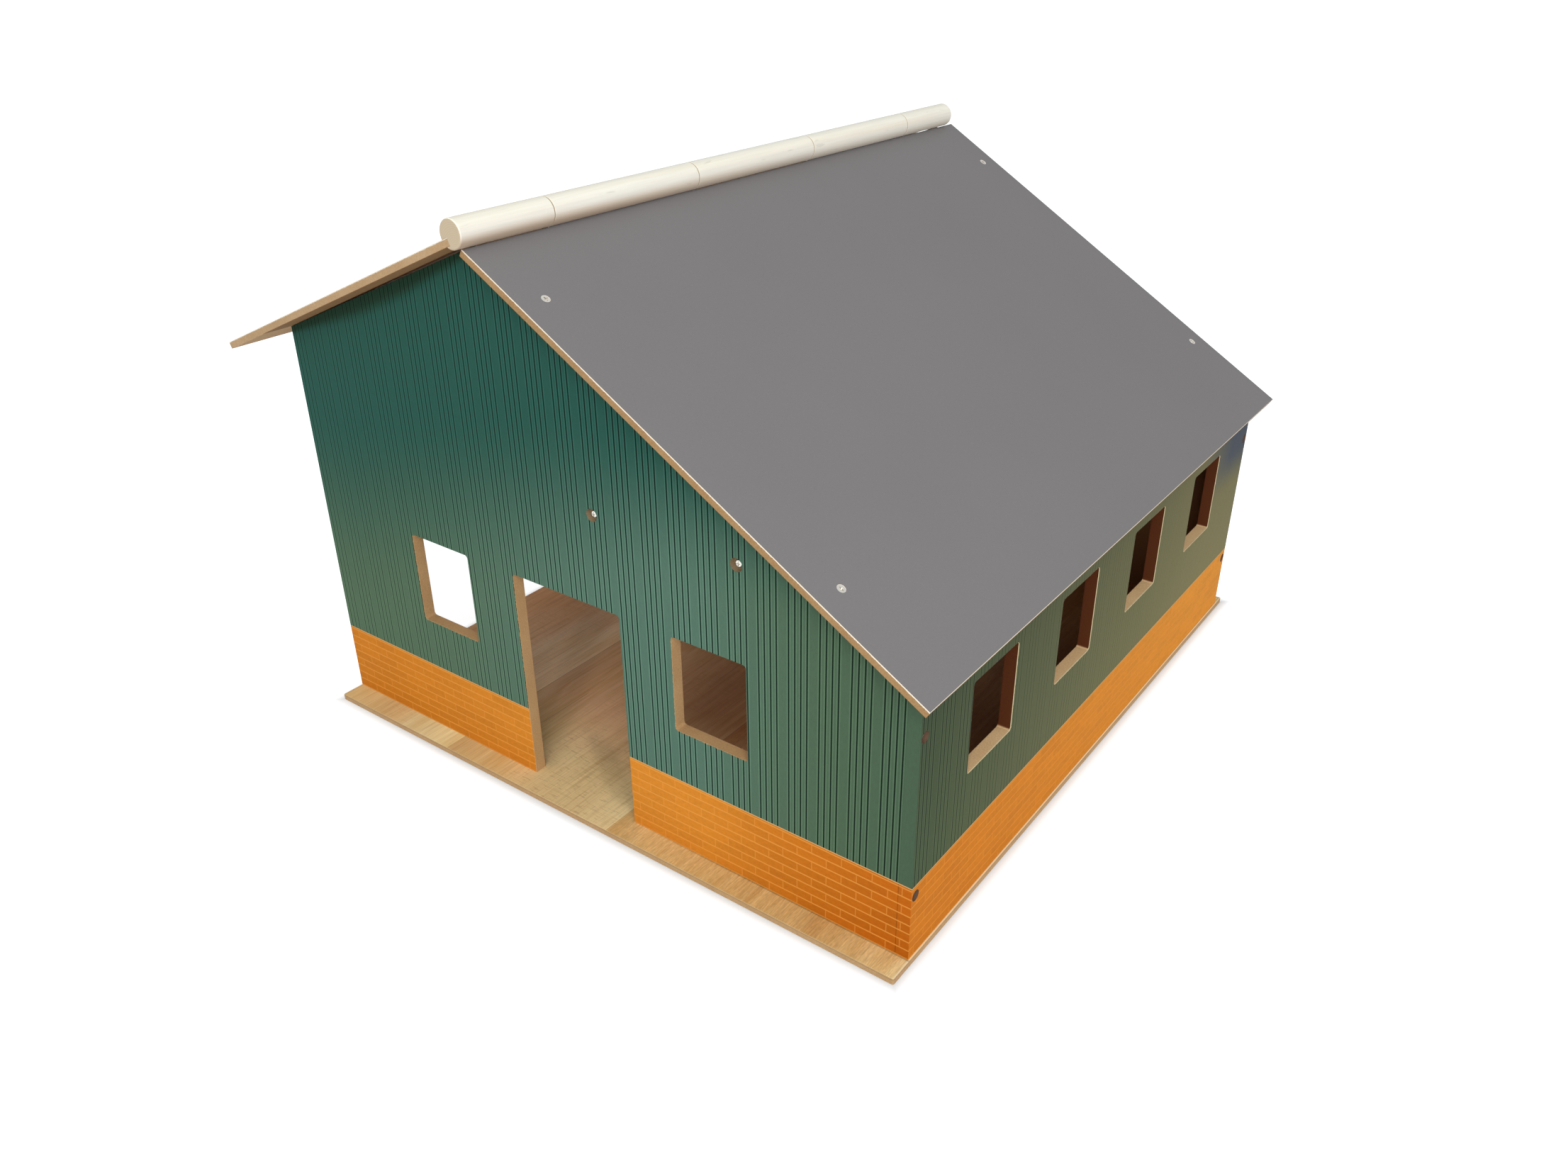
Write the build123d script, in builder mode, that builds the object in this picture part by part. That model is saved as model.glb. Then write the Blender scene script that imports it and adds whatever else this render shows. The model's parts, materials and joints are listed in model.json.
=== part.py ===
from build123d import *
from math import asin, atan2, cos, hypot, radians, sin, sqrt, tan
import os

# Toy barn: a printed board house on a thin floor sheet, open along its left side.
# The right half of the roof is fixed. The left half is a leaf that swings about a
# round wooden ridge pole, whose five lengths are the knuckles of the hinge.
#
# Millimetres. +X runs to the closed side, +Y to the rear gable and +Z up.
# The origin is the centre of the underside of the floor sheet.

# ---------------------------------------------------------------- house
house_width = 680.0  # open edge of the gables to the outside of the side wall
house_depth = 706.0  # outside of the front gable to outside of the rear gable
wall_thickness = 12.0
open_eave_height = 392.0  # gable height at the open side, above the floor

# ---------------------------------------------------------------- floor sheet
base_thickness = 6.0
base_front_margin = 24.0
base_rear_margin = 17.0
base_side_margin = 1.5
base_corner_radius = 1.5

# ---------------------------------------------------------------- gable openings
doorway_centre = 328.0  # from the open edge
doorway_width = 126.0
doorway_height = 216.0
gable_window_width = 75.8
gable_window_height = 91.0
gable_window_sill = 125.0
left_window_spacing = 160.2  # doorway centre to window centre, on the open side
right_window_spacing = 157.4
opening_corner_radius = 3.0

# ---------------------------------------------------------------- side wall openings
side_window_count = 4
side_window_width = 74.0
side_window_height = 85.0
side_window_roof_gap = 37.5  # window's top edge to the wall's top edge
side_window_first = 115.0  # front of the house to the first window's centre
side_window_last = 123.5  # last window's centre to the rear of the house

# ---------------------------------------------------------------- ridge pole
ridge_distance = 275.0  # open edge of the gables to the ridge axis
ridge_height = 517.0  # floor to ridge axis
ridge_radius = 12.0
end_knuckle_length = 97.0
knuckle_gap = 0.8
knuckle_flat = 3.0  # depth of the flat that a fixed knuckle stands on
pole_end_round = 1.5
knuckle_edge_round = 0.5
pin_radius = 2.5
pin_length = 40.0

# ---------------------------------------------------------------- roof
roof_thickness = 6.5
panel_slope = 30.9
panel_eave_overhang = 17.0
panel_front_overhang = 21.0
panel_rear_overhang = 17.0
leaf_eave_overhang = 65.0
leaf_front_overhang = 28.0
leaf_rear_overhang = 10.0
leaf_drop = 1.0  # ridge axis down to the leaf's top face
leaf_slot_wall = 1.9  # wood between a pin's bore and the leaf's edge in the slots
leaf_wedge_gap = 3.0  # leaf to gable, at the ridge

# ---------------------------------------------------------------- loft
loft_width = 260.0
loft_thickness = 12.0
loft_centre = 443.0  # from the open edge
loft_roof_gap = 12.5  # board to the fixed panel above its far edge
loft_screw_inset = 56.5  # from the board's long edges

# ---------------------------------------------------------------- fasteners
screw_radius = 1.75
pan_head_radius = 3.3
pan_head_height = 2.3
pan_head_round = 1.2
flat_head_radius = 3.6
flat_head_angle = 90.0
head_sink = 0.2  # flat heads lie this far below the surface
tip_length = 4.0
recess_length = 4.2
recess_width = 1.0
recess_depth = 1.4
counterbore_radius = 5.8
side_counterbore_radius = 5.0
counterbore_depth = 5.0
pan_screw_length = 35.0
wall_screw_floor_gap = 63.0
wall_screw_roof_gap = 45.0  # below the wall's top edge
roof_screw_length = 25.0
roof_screw_ridge_inset = 75.0  # along the slope, from the ridge axis
roof_screw_eave_inset = 106.0  # along the slope, from the eave edge
base_screw_length = 30.0
base_screw_end_inset = 60.0  # from the ends of a gable
base_screw_doorway_inset = 64.0  # from the doorway's sides
base_screw_side_inset = 150.0  # from the ends of the side wall
knuckle_screw_radius = 1.4
knuckle_screw_head_radius = 2.9
knuckle_screw_length = 15.0
knuckle_screw_inset = 55.0  # from each end of a fixed knuckle

# ---------------------------------------------------------------- fits
moving_gap = 0.3  # between the fixed roof and the leaf
bore_fit = 0.05  # around a screw's shank and a fixed pin, on the radius
running_fit = 0.08  # around a pin that a knuckle turns on, on the radius
seat_fit = 0.03  # around a sunk flat head, on the radius
end_room = 0.5  # beyond a screw's tip and a pin's end
edge_round = 0.6  # eased edges of boards and openings

# ---------------------------------------------------------------- derived places
base_width = house_width + base_side_margin
base_length = base_front_margin + house_depth + base_rear_margin
left = -base_width / 2
right = left + house_width
front = base_front_margin - base_length / 2
rear = front + house_depth
floor = base_thickness
inner_right = right - wall_thickness
doorway_x = left + doorway_centre
gable_middles = (front + wall_thickness / 2, rear - wall_thickness / 2)

# Ridge axis, and the fixed panel's planes: local x runs down the slope, local y to the rear.
ridge = Vector(left + ridge_distance, 0, floor + ridge_height)
panel_down = Vector(cos(radians(panel_slope)), 0, -sin(radians(panel_slope)))
panel_normal = Vector(sin(radians(panel_slope)), 0, cos(radians(panel_slope)))
panel_drop = ridge_radius - knuckle_flat
panel_plane = Plane(origin=ridge, x_dir=panel_down, z_dir=panel_normal)
panel_top = panel_plane.offset(-panel_drop)
panel_underside = panel_top.offset(-roof_thickness)
knuckle_sweep = ridge_radius + moving_gap
panel_ridge_edge = sqrt(knuckle_sweep**2 - panel_drop**2)
panel_eave_edge = (right + panel_eave_overhang - panel_top.origin.X) / panel_down.X
panel_front = front - panel_front_overhang
panel_rear = rear + panel_rear_overhang


def underside_height(x):
    """Height of the fixed panel's underside above a place across the house."""
    return panel_underside.origin.Z - (x - panel_underside.origin.X) * tan(radians(panel_slope))


wall_height = underside_height(right) - floor
side_window_sill = wall_height - side_window_roof_gap - side_window_height
side_window_span = house_depth - side_window_first - side_window_last
side_window_pitch = side_window_span / (side_window_count - 1)

loft_x = left + loft_centre
loft_top = underside_height(loft_x + loft_width / 2) - loft_roof_gap
loft_z = loft_top - loft_thickness / 2

# The leaf's plane passes through the ridge axis, and its underside rests on the
# gables' open corners. Local x runs up the slope to the axis, local y to the rear.
corner_drop = ridge_height - open_eave_height
corner_reach = hypot(ridge_distance, corner_drop)
leaf_seat = leaf_drop + roof_thickness + moving_gap
leaf_slope = atan2(corner_drop, ridge_distance) - asin(leaf_seat / corner_reach)
leaf_plane = Plane(
    origin=ridge,
    x_dir=(cos(leaf_slope), 0, sin(leaf_slope)),
    z_dir=(-sin(leaf_slope), 0, cos(leaf_slope)),
)
leaf_top = leaf_plane.offset(-leaf_drop)
leaf_ridge_edge = pin_radius + running_fit + leaf_slot_wall
leaf_eave_edge = sqrt(corner_reach**2 - leaf_seat**2) + leaf_eave_overhang
leaf_front = front - leaf_front_overhang
leaf_rear = rear + leaf_rear_overhang

# The gable's open slope leaves a thin wedge under the leaf and meets the closed slope at the apex.
eave_corner_height = floor + open_eave_height
wedge_point = leaf_top.from_local_coords((0, 0, -roof_thickness - leaf_wedge_gap))
gable_rise = (wedge_point.Z - eave_corner_height) / (wedge_point.X - left)
apex_distance = (underside_height(left) - eave_corner_height) / (gable_rise + tan(radians(panel_slope)))
apex_x = left + apex_distance
apex_height = eave_corner_height + gable_rise * apex_distance

# Knuckles from front to rear as (start, end). The pole is flush with the rear gable.
pole_length = rear - leaf_front
middle_knuckle_length = (pole_length - 2 * end_knuckle_length - 4 * knuckle_gap) / 3
knuckle_lengths = [end_knuckle_length] + 3 * [middle_knuckle_length] + [end_knuckle_length]
knuckle_spans = []
knuckle_start = leaf_front
for knuckle_length in knuckle_lengths:
    knuckle_spans.append((knuckle_start, knuckle_start + knuckle_length))
    knuckle_start += knuckle_length + knuckle_gap
panel_spans = knuckle_spans[1::2]

# ---------------------------------------------------------------- fastener places
# Each screw plane lies on the board's face, with its normal pointing out of the head.
loft_screw_reach = loft_width / 2 - loft_screw_inset
loft_screw_planes = [
    Plane(origin=(loft_x + side * loft_screw_reach, face, loft_z), z_dir=(0, outward, 0))
    for face, outward in ((front, -1), (rear, 1))
    for side in (-1, 1)
]
wall_screw_planes = [
    Plane(origin=(right, middle, floor + height), z_dir=(1, 0, 0))
    for middle in gable_middles
    for height in (wall_screw_floor_gap, wall_height - wall_screw_roof_gap)
]
roof_screw_planes = [
    Plane(origin=panel_top.from_local_coords((run, middle, 0)), x_dir=panel_down, z_dir=panel_normal)
    for middle in gable_middles
    for run in (roof_screw_ridge_inset, panel_eave_edge - roof_screw_eave_inset)
]
base_gable_places = (
    left + base_screw_end_inset,
    doorway_x - doorway_width / 2 - base_screw_doorway_inset,
    doorway_x + doorway_width / 2 + base_screw_doorway_inset,
    right - base_screw_end_inset,
)
base_side_places = (
    front + base_screw_side_inset,
    (front + rear) / 2,
    rear - base_screw_side_inset,
)
base_gable_planes = [
    Plane(origin=(x, middle, 0), z_dir=(0, 0, -1))
    for middle in gable_middles
    for x in base_gable_places
]
base_side_planes = [
    Plane(origin=(right - wall_thickness / 2, y, 0), z_dir=(0, 0, -1)) for y in base_side_places
]
knuckle_screw_places = [
    panel_underside.from_local_coords((panel_ridge_edge / 2, y, 0))
    for start, end in panel_spans
    for y in (start + knuckle_screw_inset, end - knuckle_screw_inset)
]
knuckle_screw_planes = [
    Plane(origin=place, x_dir=panel_down, z_dir=panel_normal * -1)
    for place in knuckle_screw_places
]
pin_planes = [
    Plane(origin=(ridge.X, (near[1] + far[0]) / 2, ridge.Z), z_dir=(0, 1, 0))
    for near, far in zip(knuckle_spans, knuckle_spans[1:])
]


def upright(y):
    """Plane across the house at a depth: local x is +X, local y is +Z, normal to the front."""
    return Plane.XZ.offset(-y)


def wood_screw(radius, length, head_outline, crown_round=0.0):
    """Cross-head wood screw pointing down -Z. The outline runs from the crown to the shank."""
    crown = head_outline[0][1]
    with BuildPart() as screw:
        with BuildSketch(Plane.XZ):
            with BuildLine():
                Polyline(*head_outline, (radius, tip_length - length), (0, -length), close=True)
            make_face()
        revolve(axis=Axis.Z)
        if crown_round:
            fillet(screw.edges().filter_by(GeomType.CIRCLE).group_by(Axis.Z)[-1], crown_round)
        with BuildSketch(Plane.XY.offset(crown)):
            Rectangle(recess_length * radius / screw_radius, recess_width)
            Rectangle(recess_width, recess_length * radius / screw_radius)
        extrude(amount=-recess_depth, mode=Mode.SUBTRACT)
    return screw.part


def flat_head_outline(radius, head_radius):
    """Countersunk head, its crown sunk below the board's face."""
    slant = (head_radius - radius) / tan(radians(flat_head_angle / 2))
    return [(0, -head_sink), (head_radius, -head_sink), (radius, -head_sink - slant)]


def countersink(head_radius):
    """Radius at the board's face of the cone that a sunk flat head seats in."""
    return head_radius + seat_fit + head_sink * tan(radians(flat_head_angle / 2))


pan_outline = [
    (0, pan_head_height),
    (pan_head_radius, pan_head_height),
    (pan_head_radius, 0),
    (screw_radius, 0),
]
screw_hole = screw_radius + bore_fit
knuckle_screw_hole = knuckle_screw_radius + bore_fit
pan_screw_reach = counterbore_depth + pan_screw_length + end_room

os.makedirs("parts", exist_ok=True)

# ---------------------------------------------------------------- base_board
with BuildPart() as base_board:
    with BuildSketch():
        RectangleRounded(base_width, base_length, base_corner_radius)
    extrude(amount=base_thickness)
    fillet(base_board.faces().sort_by(Axis.Z)[-1].edges(), edge_round)
    with Locations(*base_gable_planes, *base_side_planes):
        CounterSinkHole(screw_hole, countersink(flat_head_radius), counter_sink_angle=flat_head_angle)
base_board.part.label = "base_board"
export_step(base_board.part, "parts/base_board.step")

# ---------------------------------------------------------------- front_gable, rear_gable
for label, back in (("front_gable", front + wall_thickness), ("rear_gable", rear)):
    with BuildPart() as gable:
        with BuildSketch(upright(back)):
            with BuildLine():
                Polyline(
                    (left, floor),
                    (inner_right, floor),
                    (inner_right, underside_height(inner_right)),
                    (apex_x, apex_height),
                    (left, eave_corner_height),
                    close=True,
                )
            make_face()
        extrude(amount=wall_thickness)
        with BuildSketch(upright(back)) as doorway:
            with Locations((doorway_x, floor)):
                Rectangle(doorway_width, doorway_height, align=(Align.CENTER, Align.MIN))
            fillet(doorway.vertices().group_by(Axis.Y)[-1], opening_corner_radius)
        with BuildSketch(upright(back)):
            for spacing in (-left_window_spacing, right_window_spacing):
                with Locations((doorway_x + spacing, floor + gable_window_sill)):
                    RectangleRounded(
                        gable_window_width,
                        gable_window_height,
                        opening_corner_radius,
                        align=(Align.CENTER, Align.MIN),
                    )
        extrude(amount=wall_thickness, mode=Mode.SUBTRACT)
        rims = gable.edges(Select.LAST).filter_by(Plane.XZ)
        fillet(rims.filter_by(lambda edge: edge.center().Z > floor + edge_round), edge_round)
        with Locations(*loft_screw_planes):
            CounterBoreHole(screw_hole, counterbore_radius, counterbore_depth, pan_screw_reach)
        with Locations(*wall_screw_planes):
            Hole(screw_hole, pan_screw_reach)
        with Locations(*roof_screw_planes):
            Hole(screw_hole, roof_screw_length + end_room)
        with Locations(*base_gable_planes):
            Hole(screw_hole, base_screw_length + end_room)
    gable.part.label = label
    export_step(gable.part, f"parts/{label}.step")

# ---------------------------------------------------------------- side_wall
with BuildPart() as side_wall:
    with BuildSketch(upright(rear)):
        with BuildLine():
            Polyline(
                (inner_right, floor),
                (right, floor),
                (right, underside_height(right)),
                (inner_right, underside_height(inner_right)),
                close=True,
            )
        make_face()
    extrude(amount=house_depth)
    with BuildSketch(Plane.YZ.offset(right)):
        for number in range(side_window_count):
            window_middle = front + side_window_first + number * side_window_pitch
            with Locations((window_middle, floor + side_window_sill)):
                RectangleRounded(
                    side_window_width,
                    side_window_height,
                    opening_corner_radius,
                    align=(Align.CENTER, Align.MIN),
                )
    extrude(amount=-wall_thickness, mode=Mode.SUBTRACT)
    fillet(side_wall.edges(Select.LAST).filter_by(Plane.YZ), edge_round)
    with Locations(*wall_screw_planes):
        CounterBoreHole(screw_hole, side_counterbore_radius, counterbore_depth)
    with Locations(*base_side_planes):
        Hole(screw_hole, base_screw_length + end_room)
side_wall.part.label = "side_wall"
export_step(side_wall.part, "parts/side_wall.step")

# ---------------------------------------------------------------- loft_board
with BuildPart() as loft_board:
    with BuildSketch(upright(rear - wall_thickness)):
        with Locations((loft_x, loft_z)):
            Rectangle(loft_width, loft_thickness)
    extrude(amount=house_depth - 2 * wall_thickness)
    fillet(loft_board.edges().filter_by(Axis.Y), edge_round)
    with Locations(*loft_screw_planes):
        Hole(screw_hole, pan_screw_reach)
loft_board.part.label = "loft_board"
export_step(loft_board.part, "parts/loft_board.step")

# ---------------------------------------------------------------- roof_panel
# Tongues run in under the fixed knuckles. Elsewhere the edge clears the turning ones.
with BuildPart() as roof_panel:
    with BuildSketch(panel_top):
        with Locations((panel_eave_edge, panel_front)):
            Rectangle(
                panel_eave_edge - panel_ridge_edge,
                panel_rear - panel_front,
                align=(Align.MAX, Align.MIN),
            )
        for start, end in panel_spans:
            with Locations((panel_ridge_edge, start)):
                Rectangle(panel_ridge_edge, end - start, align=(Align.MAX, Align.MIN))
    extrude(amount=-roof_thickness)
    fillet(roof_panel.faces().filter_by(panel_top).edges(), edge_round)
    with Locations(*roof_screw_planes):
        CounterSinkHole(screw_hole, countersink(flat_head_radius), counter_sink_angle=flat_head_angle)
    with Locations(*knuckle_screw_planes):
        CounterSinkHole(
            knuckle_screw_hole,
            countersink(knuckle_screw_head_radius),
            counter_sink_angle=flat_head_angle,
        )
roof_panel.part.label = "roof_panel"
export_step(roof_panel.part, "parts/roof_panel.step")

# ---------------------------------------------------------------- roof_leaf
# Its edge reaches into the slots of the turning knuckles and clears the fixed ones.
with BuildPart() as roof_leaf:
    with BuildSketch(leaf_top):
        with Locations((-leaf_ridge_edge, leaf_front)):
            Rectangle(
                leaf_eave_edge - leaf_ridge_edge,
                leaf_rear - leaf_front,
                align=(Align.MAX, Align.MIN),
            )
        for start, end in panel_spans:
            with Locations((0, start - knuckle_gap)):
                Rectangle(
                    knuckle_sweep,
                    end - start + 2 * knuckle_gap,
                    align=(Align.MAX, Align.MIN),
                    mode=Mode.SUBTRACT,
                )
    extrude(amount=-roof_thickness)
    fillet(roof_leaf.faces().filter_by(leaf_top).edges(), edge_round)
roof_leaf.part.label = "roof_leaf"
export_step(roof_leaf.part, "parts/roof_leaf.step")

# ---------------------------------------------------------------- ridge_knuckle_1 to ridge_knuckle_5
for number, (start, end) in enumerate(knuckle_spans, 1):
    turns = number % 2 == 1
    with BuildPart() as knuckle:
        with BuildSketch(upright(end)):
            with Locations((ridge.X, ridge.Z)):
                Circle(ridge_radius)
        extrude(amount=end - start)
        front_rim, rear_rim = knuckle.edges().filter_by(GeomType.CIRCLE).sort_by(Axis.Y)
        fillet(front_rim, pole_end_round if number == 1 else knuckle_edge_round)
        fillet(rear_rim, pole_end_round if number == len(knuckle_spans) else knuckle_edge_round)
        if turns:
            with BuildSketch(leaf_top):
                with Locations((-leaf_ridge_edge, start)):
                    Rectangle(2 * ridge_radius, end - start, align=(Align.MAX, Align.MIN))
            extrude(amount=-roof_thickness, mode=Mode.SUBTRACT)
        else:
            with BuildSketch(panel_top):
                with Locations((0, start)):
                    Rectangle(2 * ridge_radius, end - start, align=(Align.CENTER, Align.MIN))
            extrude(amount=-ridge_radius, mode=Mode.SUBTRACT)
            with Locations(*knuckle_screw_planes):
                Hole(knuckle_screw_hole, knuckle_screw_length + end_room)
        with Locations(*pin_planes):
            Hole(pin_radius + (running_fit if turns else bore_fit), pin_length / 2 + end_room)
    knuckle.part.label = f"ridge_knuckle_{number}"
    export_step(knuckle.part, f"parts/ridge_knuckle_{number}.step")

# ---------------------------------------------------------------- hinge_pins
with BuildPart() as hinge_pins:
    with Locations(*pin_planes):
        Cylinder(pin_radius, pin_length)
    fillet(hinge_pins.edges().filter_by(GeomType.CIRCLE), edge_round)
hinge_pins.part.label = "hinge_pins"
export_step(hinge_pins.part, "parts/hinge_pins.step")

# ---------------------------------------------------------------- screws
pan_screw = wood_screw(screw_radius, pan_screw_length, pan_outline, pan_head_round)
roof_screw = wood_screw(screw_radius, roof_screw_length, flat_head_outline(screw_radius, flat_head_radius))
base_screw = wood_screw(screw_radius, base_screw_length, flat_head_outline(screw_radius, flat_head_radius))
knuckle_screw = wood_screw(
    knuckle_screw_radius,
    knuckle_screw_length,
    flat_head_outline(knuckle_screw_radius, knuckle_screw_head_radius),
)
screw_groups = {
    "wall_screws": (pan_screw, [plane.offset(-counterbore_depth) for plane in wall_screw_planes]),
    "loft_screws": (pan_screw, [plane.offset(-counterbore_depth) for plane in loft_screw_planes]),
    "roof_screws": (roof_screw, roof_screw_planes),
    "base_screws": (base_screw, base_gable_planes + base_side_planes),
    "knuckle_screws": (knuckle_screw, knuckle_screw_planes),
}
for label, (screw, planes) in screw_groups.items():
    with BuildPart() as group:
        with Locations(*planes):
            add(screw)
    group.part.label = label
    export_step(group.part, f"parts/{label}.step")
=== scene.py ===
import json
from collections import namedtuple
from math import radians

import bpy
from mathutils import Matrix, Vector


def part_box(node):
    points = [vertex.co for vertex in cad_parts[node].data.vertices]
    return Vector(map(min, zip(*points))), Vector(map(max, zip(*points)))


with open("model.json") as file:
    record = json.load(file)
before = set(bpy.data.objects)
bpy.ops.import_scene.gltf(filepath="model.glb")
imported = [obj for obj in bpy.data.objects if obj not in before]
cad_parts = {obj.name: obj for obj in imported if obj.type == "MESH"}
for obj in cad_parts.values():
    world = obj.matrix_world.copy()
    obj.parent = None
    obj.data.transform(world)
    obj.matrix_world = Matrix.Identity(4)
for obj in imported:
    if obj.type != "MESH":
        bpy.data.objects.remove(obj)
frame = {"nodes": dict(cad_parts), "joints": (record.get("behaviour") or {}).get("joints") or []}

MM = 0.001

# ---------------------------------------------------------------- the barn's faces, from the frame
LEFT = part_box("front_gable")[0].x
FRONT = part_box("front_gable")[0].y
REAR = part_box("rear_gable")[1].y
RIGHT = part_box("side_wall")[1].x
INNER_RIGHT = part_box("side_wall")[0].x
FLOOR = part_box("base_board")[1].z
PANEL_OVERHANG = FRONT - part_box("roof_panel")[0].y
LOFT_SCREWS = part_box("loft_screws")
RIDGE = Vector(frame["joints"][0]["pos_m"])
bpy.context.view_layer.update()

# ---------------------------------------------------------------- camera
CAMERA_PLACE = (0.68465, -0.9859, 0.7359)
CAMERA_TURN_DEG = (61.216, 0.202, 36.043)
LENS_MM = 28.52
SENSOR_MM = 36.0


def srgb(red, green, blue):
    """Scene colour of an 8-bit display colour."""
    def linear(value):
        share = value / 255
        return share / 12.92 if share <= 0.04045 else ((share + 0.055) / 1.055) ** 2.4

    return (linear(red), linear(green), linear(blue), 1.0)


# ================================================================ node trees
class Nodes:
    """A cleared node tree. Methods add nodes and return the output to use next."""

    def __init__(self, tree):
        self.tree = tree
        self.tree.nodes.clear()

    def add(self, kind, **settings):
        node = self.tree.nodes.new("ShaderNode" + kind)
        for name, setting in settings.items():
            setattr(node, name, setting)
        return node

    def put(self, socket, value):
        """Link the value to the socket if it is an output, and otherwise set it."""
        if isinstance(value, bpy.types.NodeSocket):
            self.tree.links.new(value, socket)
        else:
            socket.default_value = value

    def fill(self, sockets, values):
        for socket, value in zip(sockets, values):
            self.put(socket, value)

    def parts(self, vector):
        """A vector's x, y and z."""
        node = self.add("SeparateXYZ")
        self.put(node.inputs[0], vector)
        return node.outputs[0], node.outputs[1], node.outputs[2]

    def vector(self, x, y, z):
        node = self.add("CombineXYZ")
        self.fill(node.inputs, (x, y, z))
        return node.outputs[0]

    def vector_math(self, operation, *vectors):
        node = self.add("VectorMath", operation=operation)
        self.fill(node.inputs, vectors)
        return node.outputs["Value" if operation == "DOT_PRODUCT" else "Vector"]

    def math(self, operation, first, second=0.0, third=0.0):
        node = self.add("Math", operation=operation)
        self.fill(node.inputs, (first, second, third))
        return node.outputs[0]

    def times(self, first, *others):
        """The product of values or masks."""
        for other in others:
            first = self.math("MULTIPLY", first, other)
        return first

    def away(self, value, place):
        """Distance from a place on an axis."""
        return self.math("ABSOLUTE", self.math("SUBTRACT", value, place))

    def remap(self, value, low, high, at_low=0.0, at_high=1.0, smooth=False):
        """The value, carried from low..high to at_low..at_high and held there."""
        node = self.add("MapRange", interpolation_type="SMOOTHSTEP" if smooth else "LINEAR")
        self.fill(node.inputs, (value, low, high, at_low, at_high))
        return node.outputs[0]

    def near(self, distance, inner, outer):
        """1 closer than inner, 0 past outer, smooth between."""
        return self.remap(distance, inner, outer, 1.0, 0.0, smooth=True)


class Paint(Nodes):
    """One material of a piece."""

    def __init__(self, name):
        self.material = bpy.data.materials.new(name)
        self.material.use_nodes = True
        super().__init__(self.material.node_tree)
        self.shader = self.add("BsdfPrincipled")
        output = self.add("OutputMaterial")
        self.put(output.inputs["Surface"], self.shader.outputs["BSDF"])
        coordinates = self.add("TexCoord")
        self.place = coordinates.outputs["Object"]
        self.normal = coordinates.outputs["Normal"]
        self.x, self.y, self.z = self.parts(self.place)

    def noise(self, factors, detail=3.0, roughness=0.5, shift=(0.0, 0.0, 0.0), distortion=0.0):
        """Noise whose features have a size of 1 / factor metres along each axis."""
        node = self.add("TexNoise")
        self.put(node.inputs["Vector"], self.vector_math("MULTIPLY_ADD", self.place, factors, shift))
        node.inputs["Scale"].default_value = 1.0
        node.inputs["Detail"].default_value = detail
        node.inputs["Roughness"].default_value = roughness
        node.inputs["Distortion"].default_value = distortion
        return node.outputs["Fac"]

    def about_one(self, noise, spread):
        """An amount that sways about 1 with a noise."""
        return self.remap(noise, 0.3, 0.7, 1.0 - spread, 1.0 + spread)

    def chance(self, vector):
        """A number from 0 to 1 that is fixed for each vector."""
        node = self.add("TexWhiteNoise")
        self.put(node.inputs["Vector"], vector)
        return node.outputs["Value"]

    def off_centre(self, value, pitch):
        """Distance to the nearest whole multiple of the pitch."""
        turns = self.math("ADD", self.math("DIVIDE", value, pitch), 0.5)
        share = self.math("SUBTRACT", self.math("FRACT", turns), 0.5)
        return self.times(self.math("ABSOLUTE", share), pitch)

    def mix(self, share, first, second, blend="MIX"):
        node = self.add("Mix", data_type="RGBA", blend_type=blend)
        self.fill((node.inputs[0], node.inputs[6], node.inputs[7]), (share, first, second))
        return node.outputs[2]

    def tone(self, colour, amount):
        """The colour, made lighter or darker by an amount about 1."""
        return self.mix(1.0, colour, self.vector(amount, amount, amount), blend="MULTIPLY")

    def tone_where(self, mask, colour, amount):
        """The colour, toned by the amount where the mask is 1."""
        return self.tone(colour, self.remap(mask, 0.0, 1.0, 1.0, amount))

    def tint_where(self, mask, colour, factors):
        """The colour, its red, green and blue times the factors where the mask is 1."""
        return self.mix(mask, colour, (*factors, 1.0), blend="MULTIPLY")

    def finish(self, colour, roughness, height, bump, depth=0.2 * MM, specular=0.3, metallic=0.0):
        """Wire the shader up. Return the finished material."""
        self.put(self.shader.inputs["Base Color"], colour)
        self.put(self.shader.inputs["Roughness"], roughness)
        self.shader.inputs["Specular IOR Level"].default_value = specular
        self.shader.inputs["Metallic"].default_value = metallic
        node = self.add("Bump")
        node.inputs["Strength"].default_value = bump
        node.inputs["Distance"].default_value = depth
        self.put(node.inputs["Height"], height)
        self.put(self.shader.inputs["Normal"], node.outputs["Normal"])
        return self.material


# Places in a material are metres. Along a gable and across the floor they count from the house's open
# edge, along the side wall and inward on the floor from its front, and heights from the floor. A ramp
# is where it starts and ends, and then the amounts there if they aren't 0 and 1.

# ================================================================ fibreboard
CUT_EDGE = (srgb(204, 168, 122), srgb(182, 144, 100))  # light and dark
LOFT_BOARD = (srgb(178, 144, 104), srgb(158, 124, 86))


def fibreboard(paint, light, dark):
    """Colour and height of a bare fibreboard face or cut edge."""
    fibres = paint.noise((700.0, 700.0, 900.0), detail=4.0, roughness=0.7)
    clouds = paint.noise((35.0, 35.0, 35.0), detail=2.0)
    flecks = paint.remap(paint.noise((1600.0, 1600.0, 1600.0), detail=1.0), 0.62, 0.72)
    share = paint.math("MULTIPLY_ADD", fibres, 0.7, paint.times(clouds, 0.3))
    colour = paint.mix(paint.remap(share, 0.35, 0.65), dark, light)
    return paint.tone_where(flecks, colour, 0.82), fibres


def streaked(paint, colour, fibres, spread):
    return paint.tone(colour, paint.about_one(fibres, spread))


# ================================================================ printed walls
GABLE_WEAR = (0.06 * MM, 0.30 * MM)  # how far round an edge the paper reaches, least and most
SIDE_WEAR = (0.01 * MM, 0.08 * MM)
PAPER_EDGE = 0.65 * MM  # depth of the pale rim round the side sheet

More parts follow.
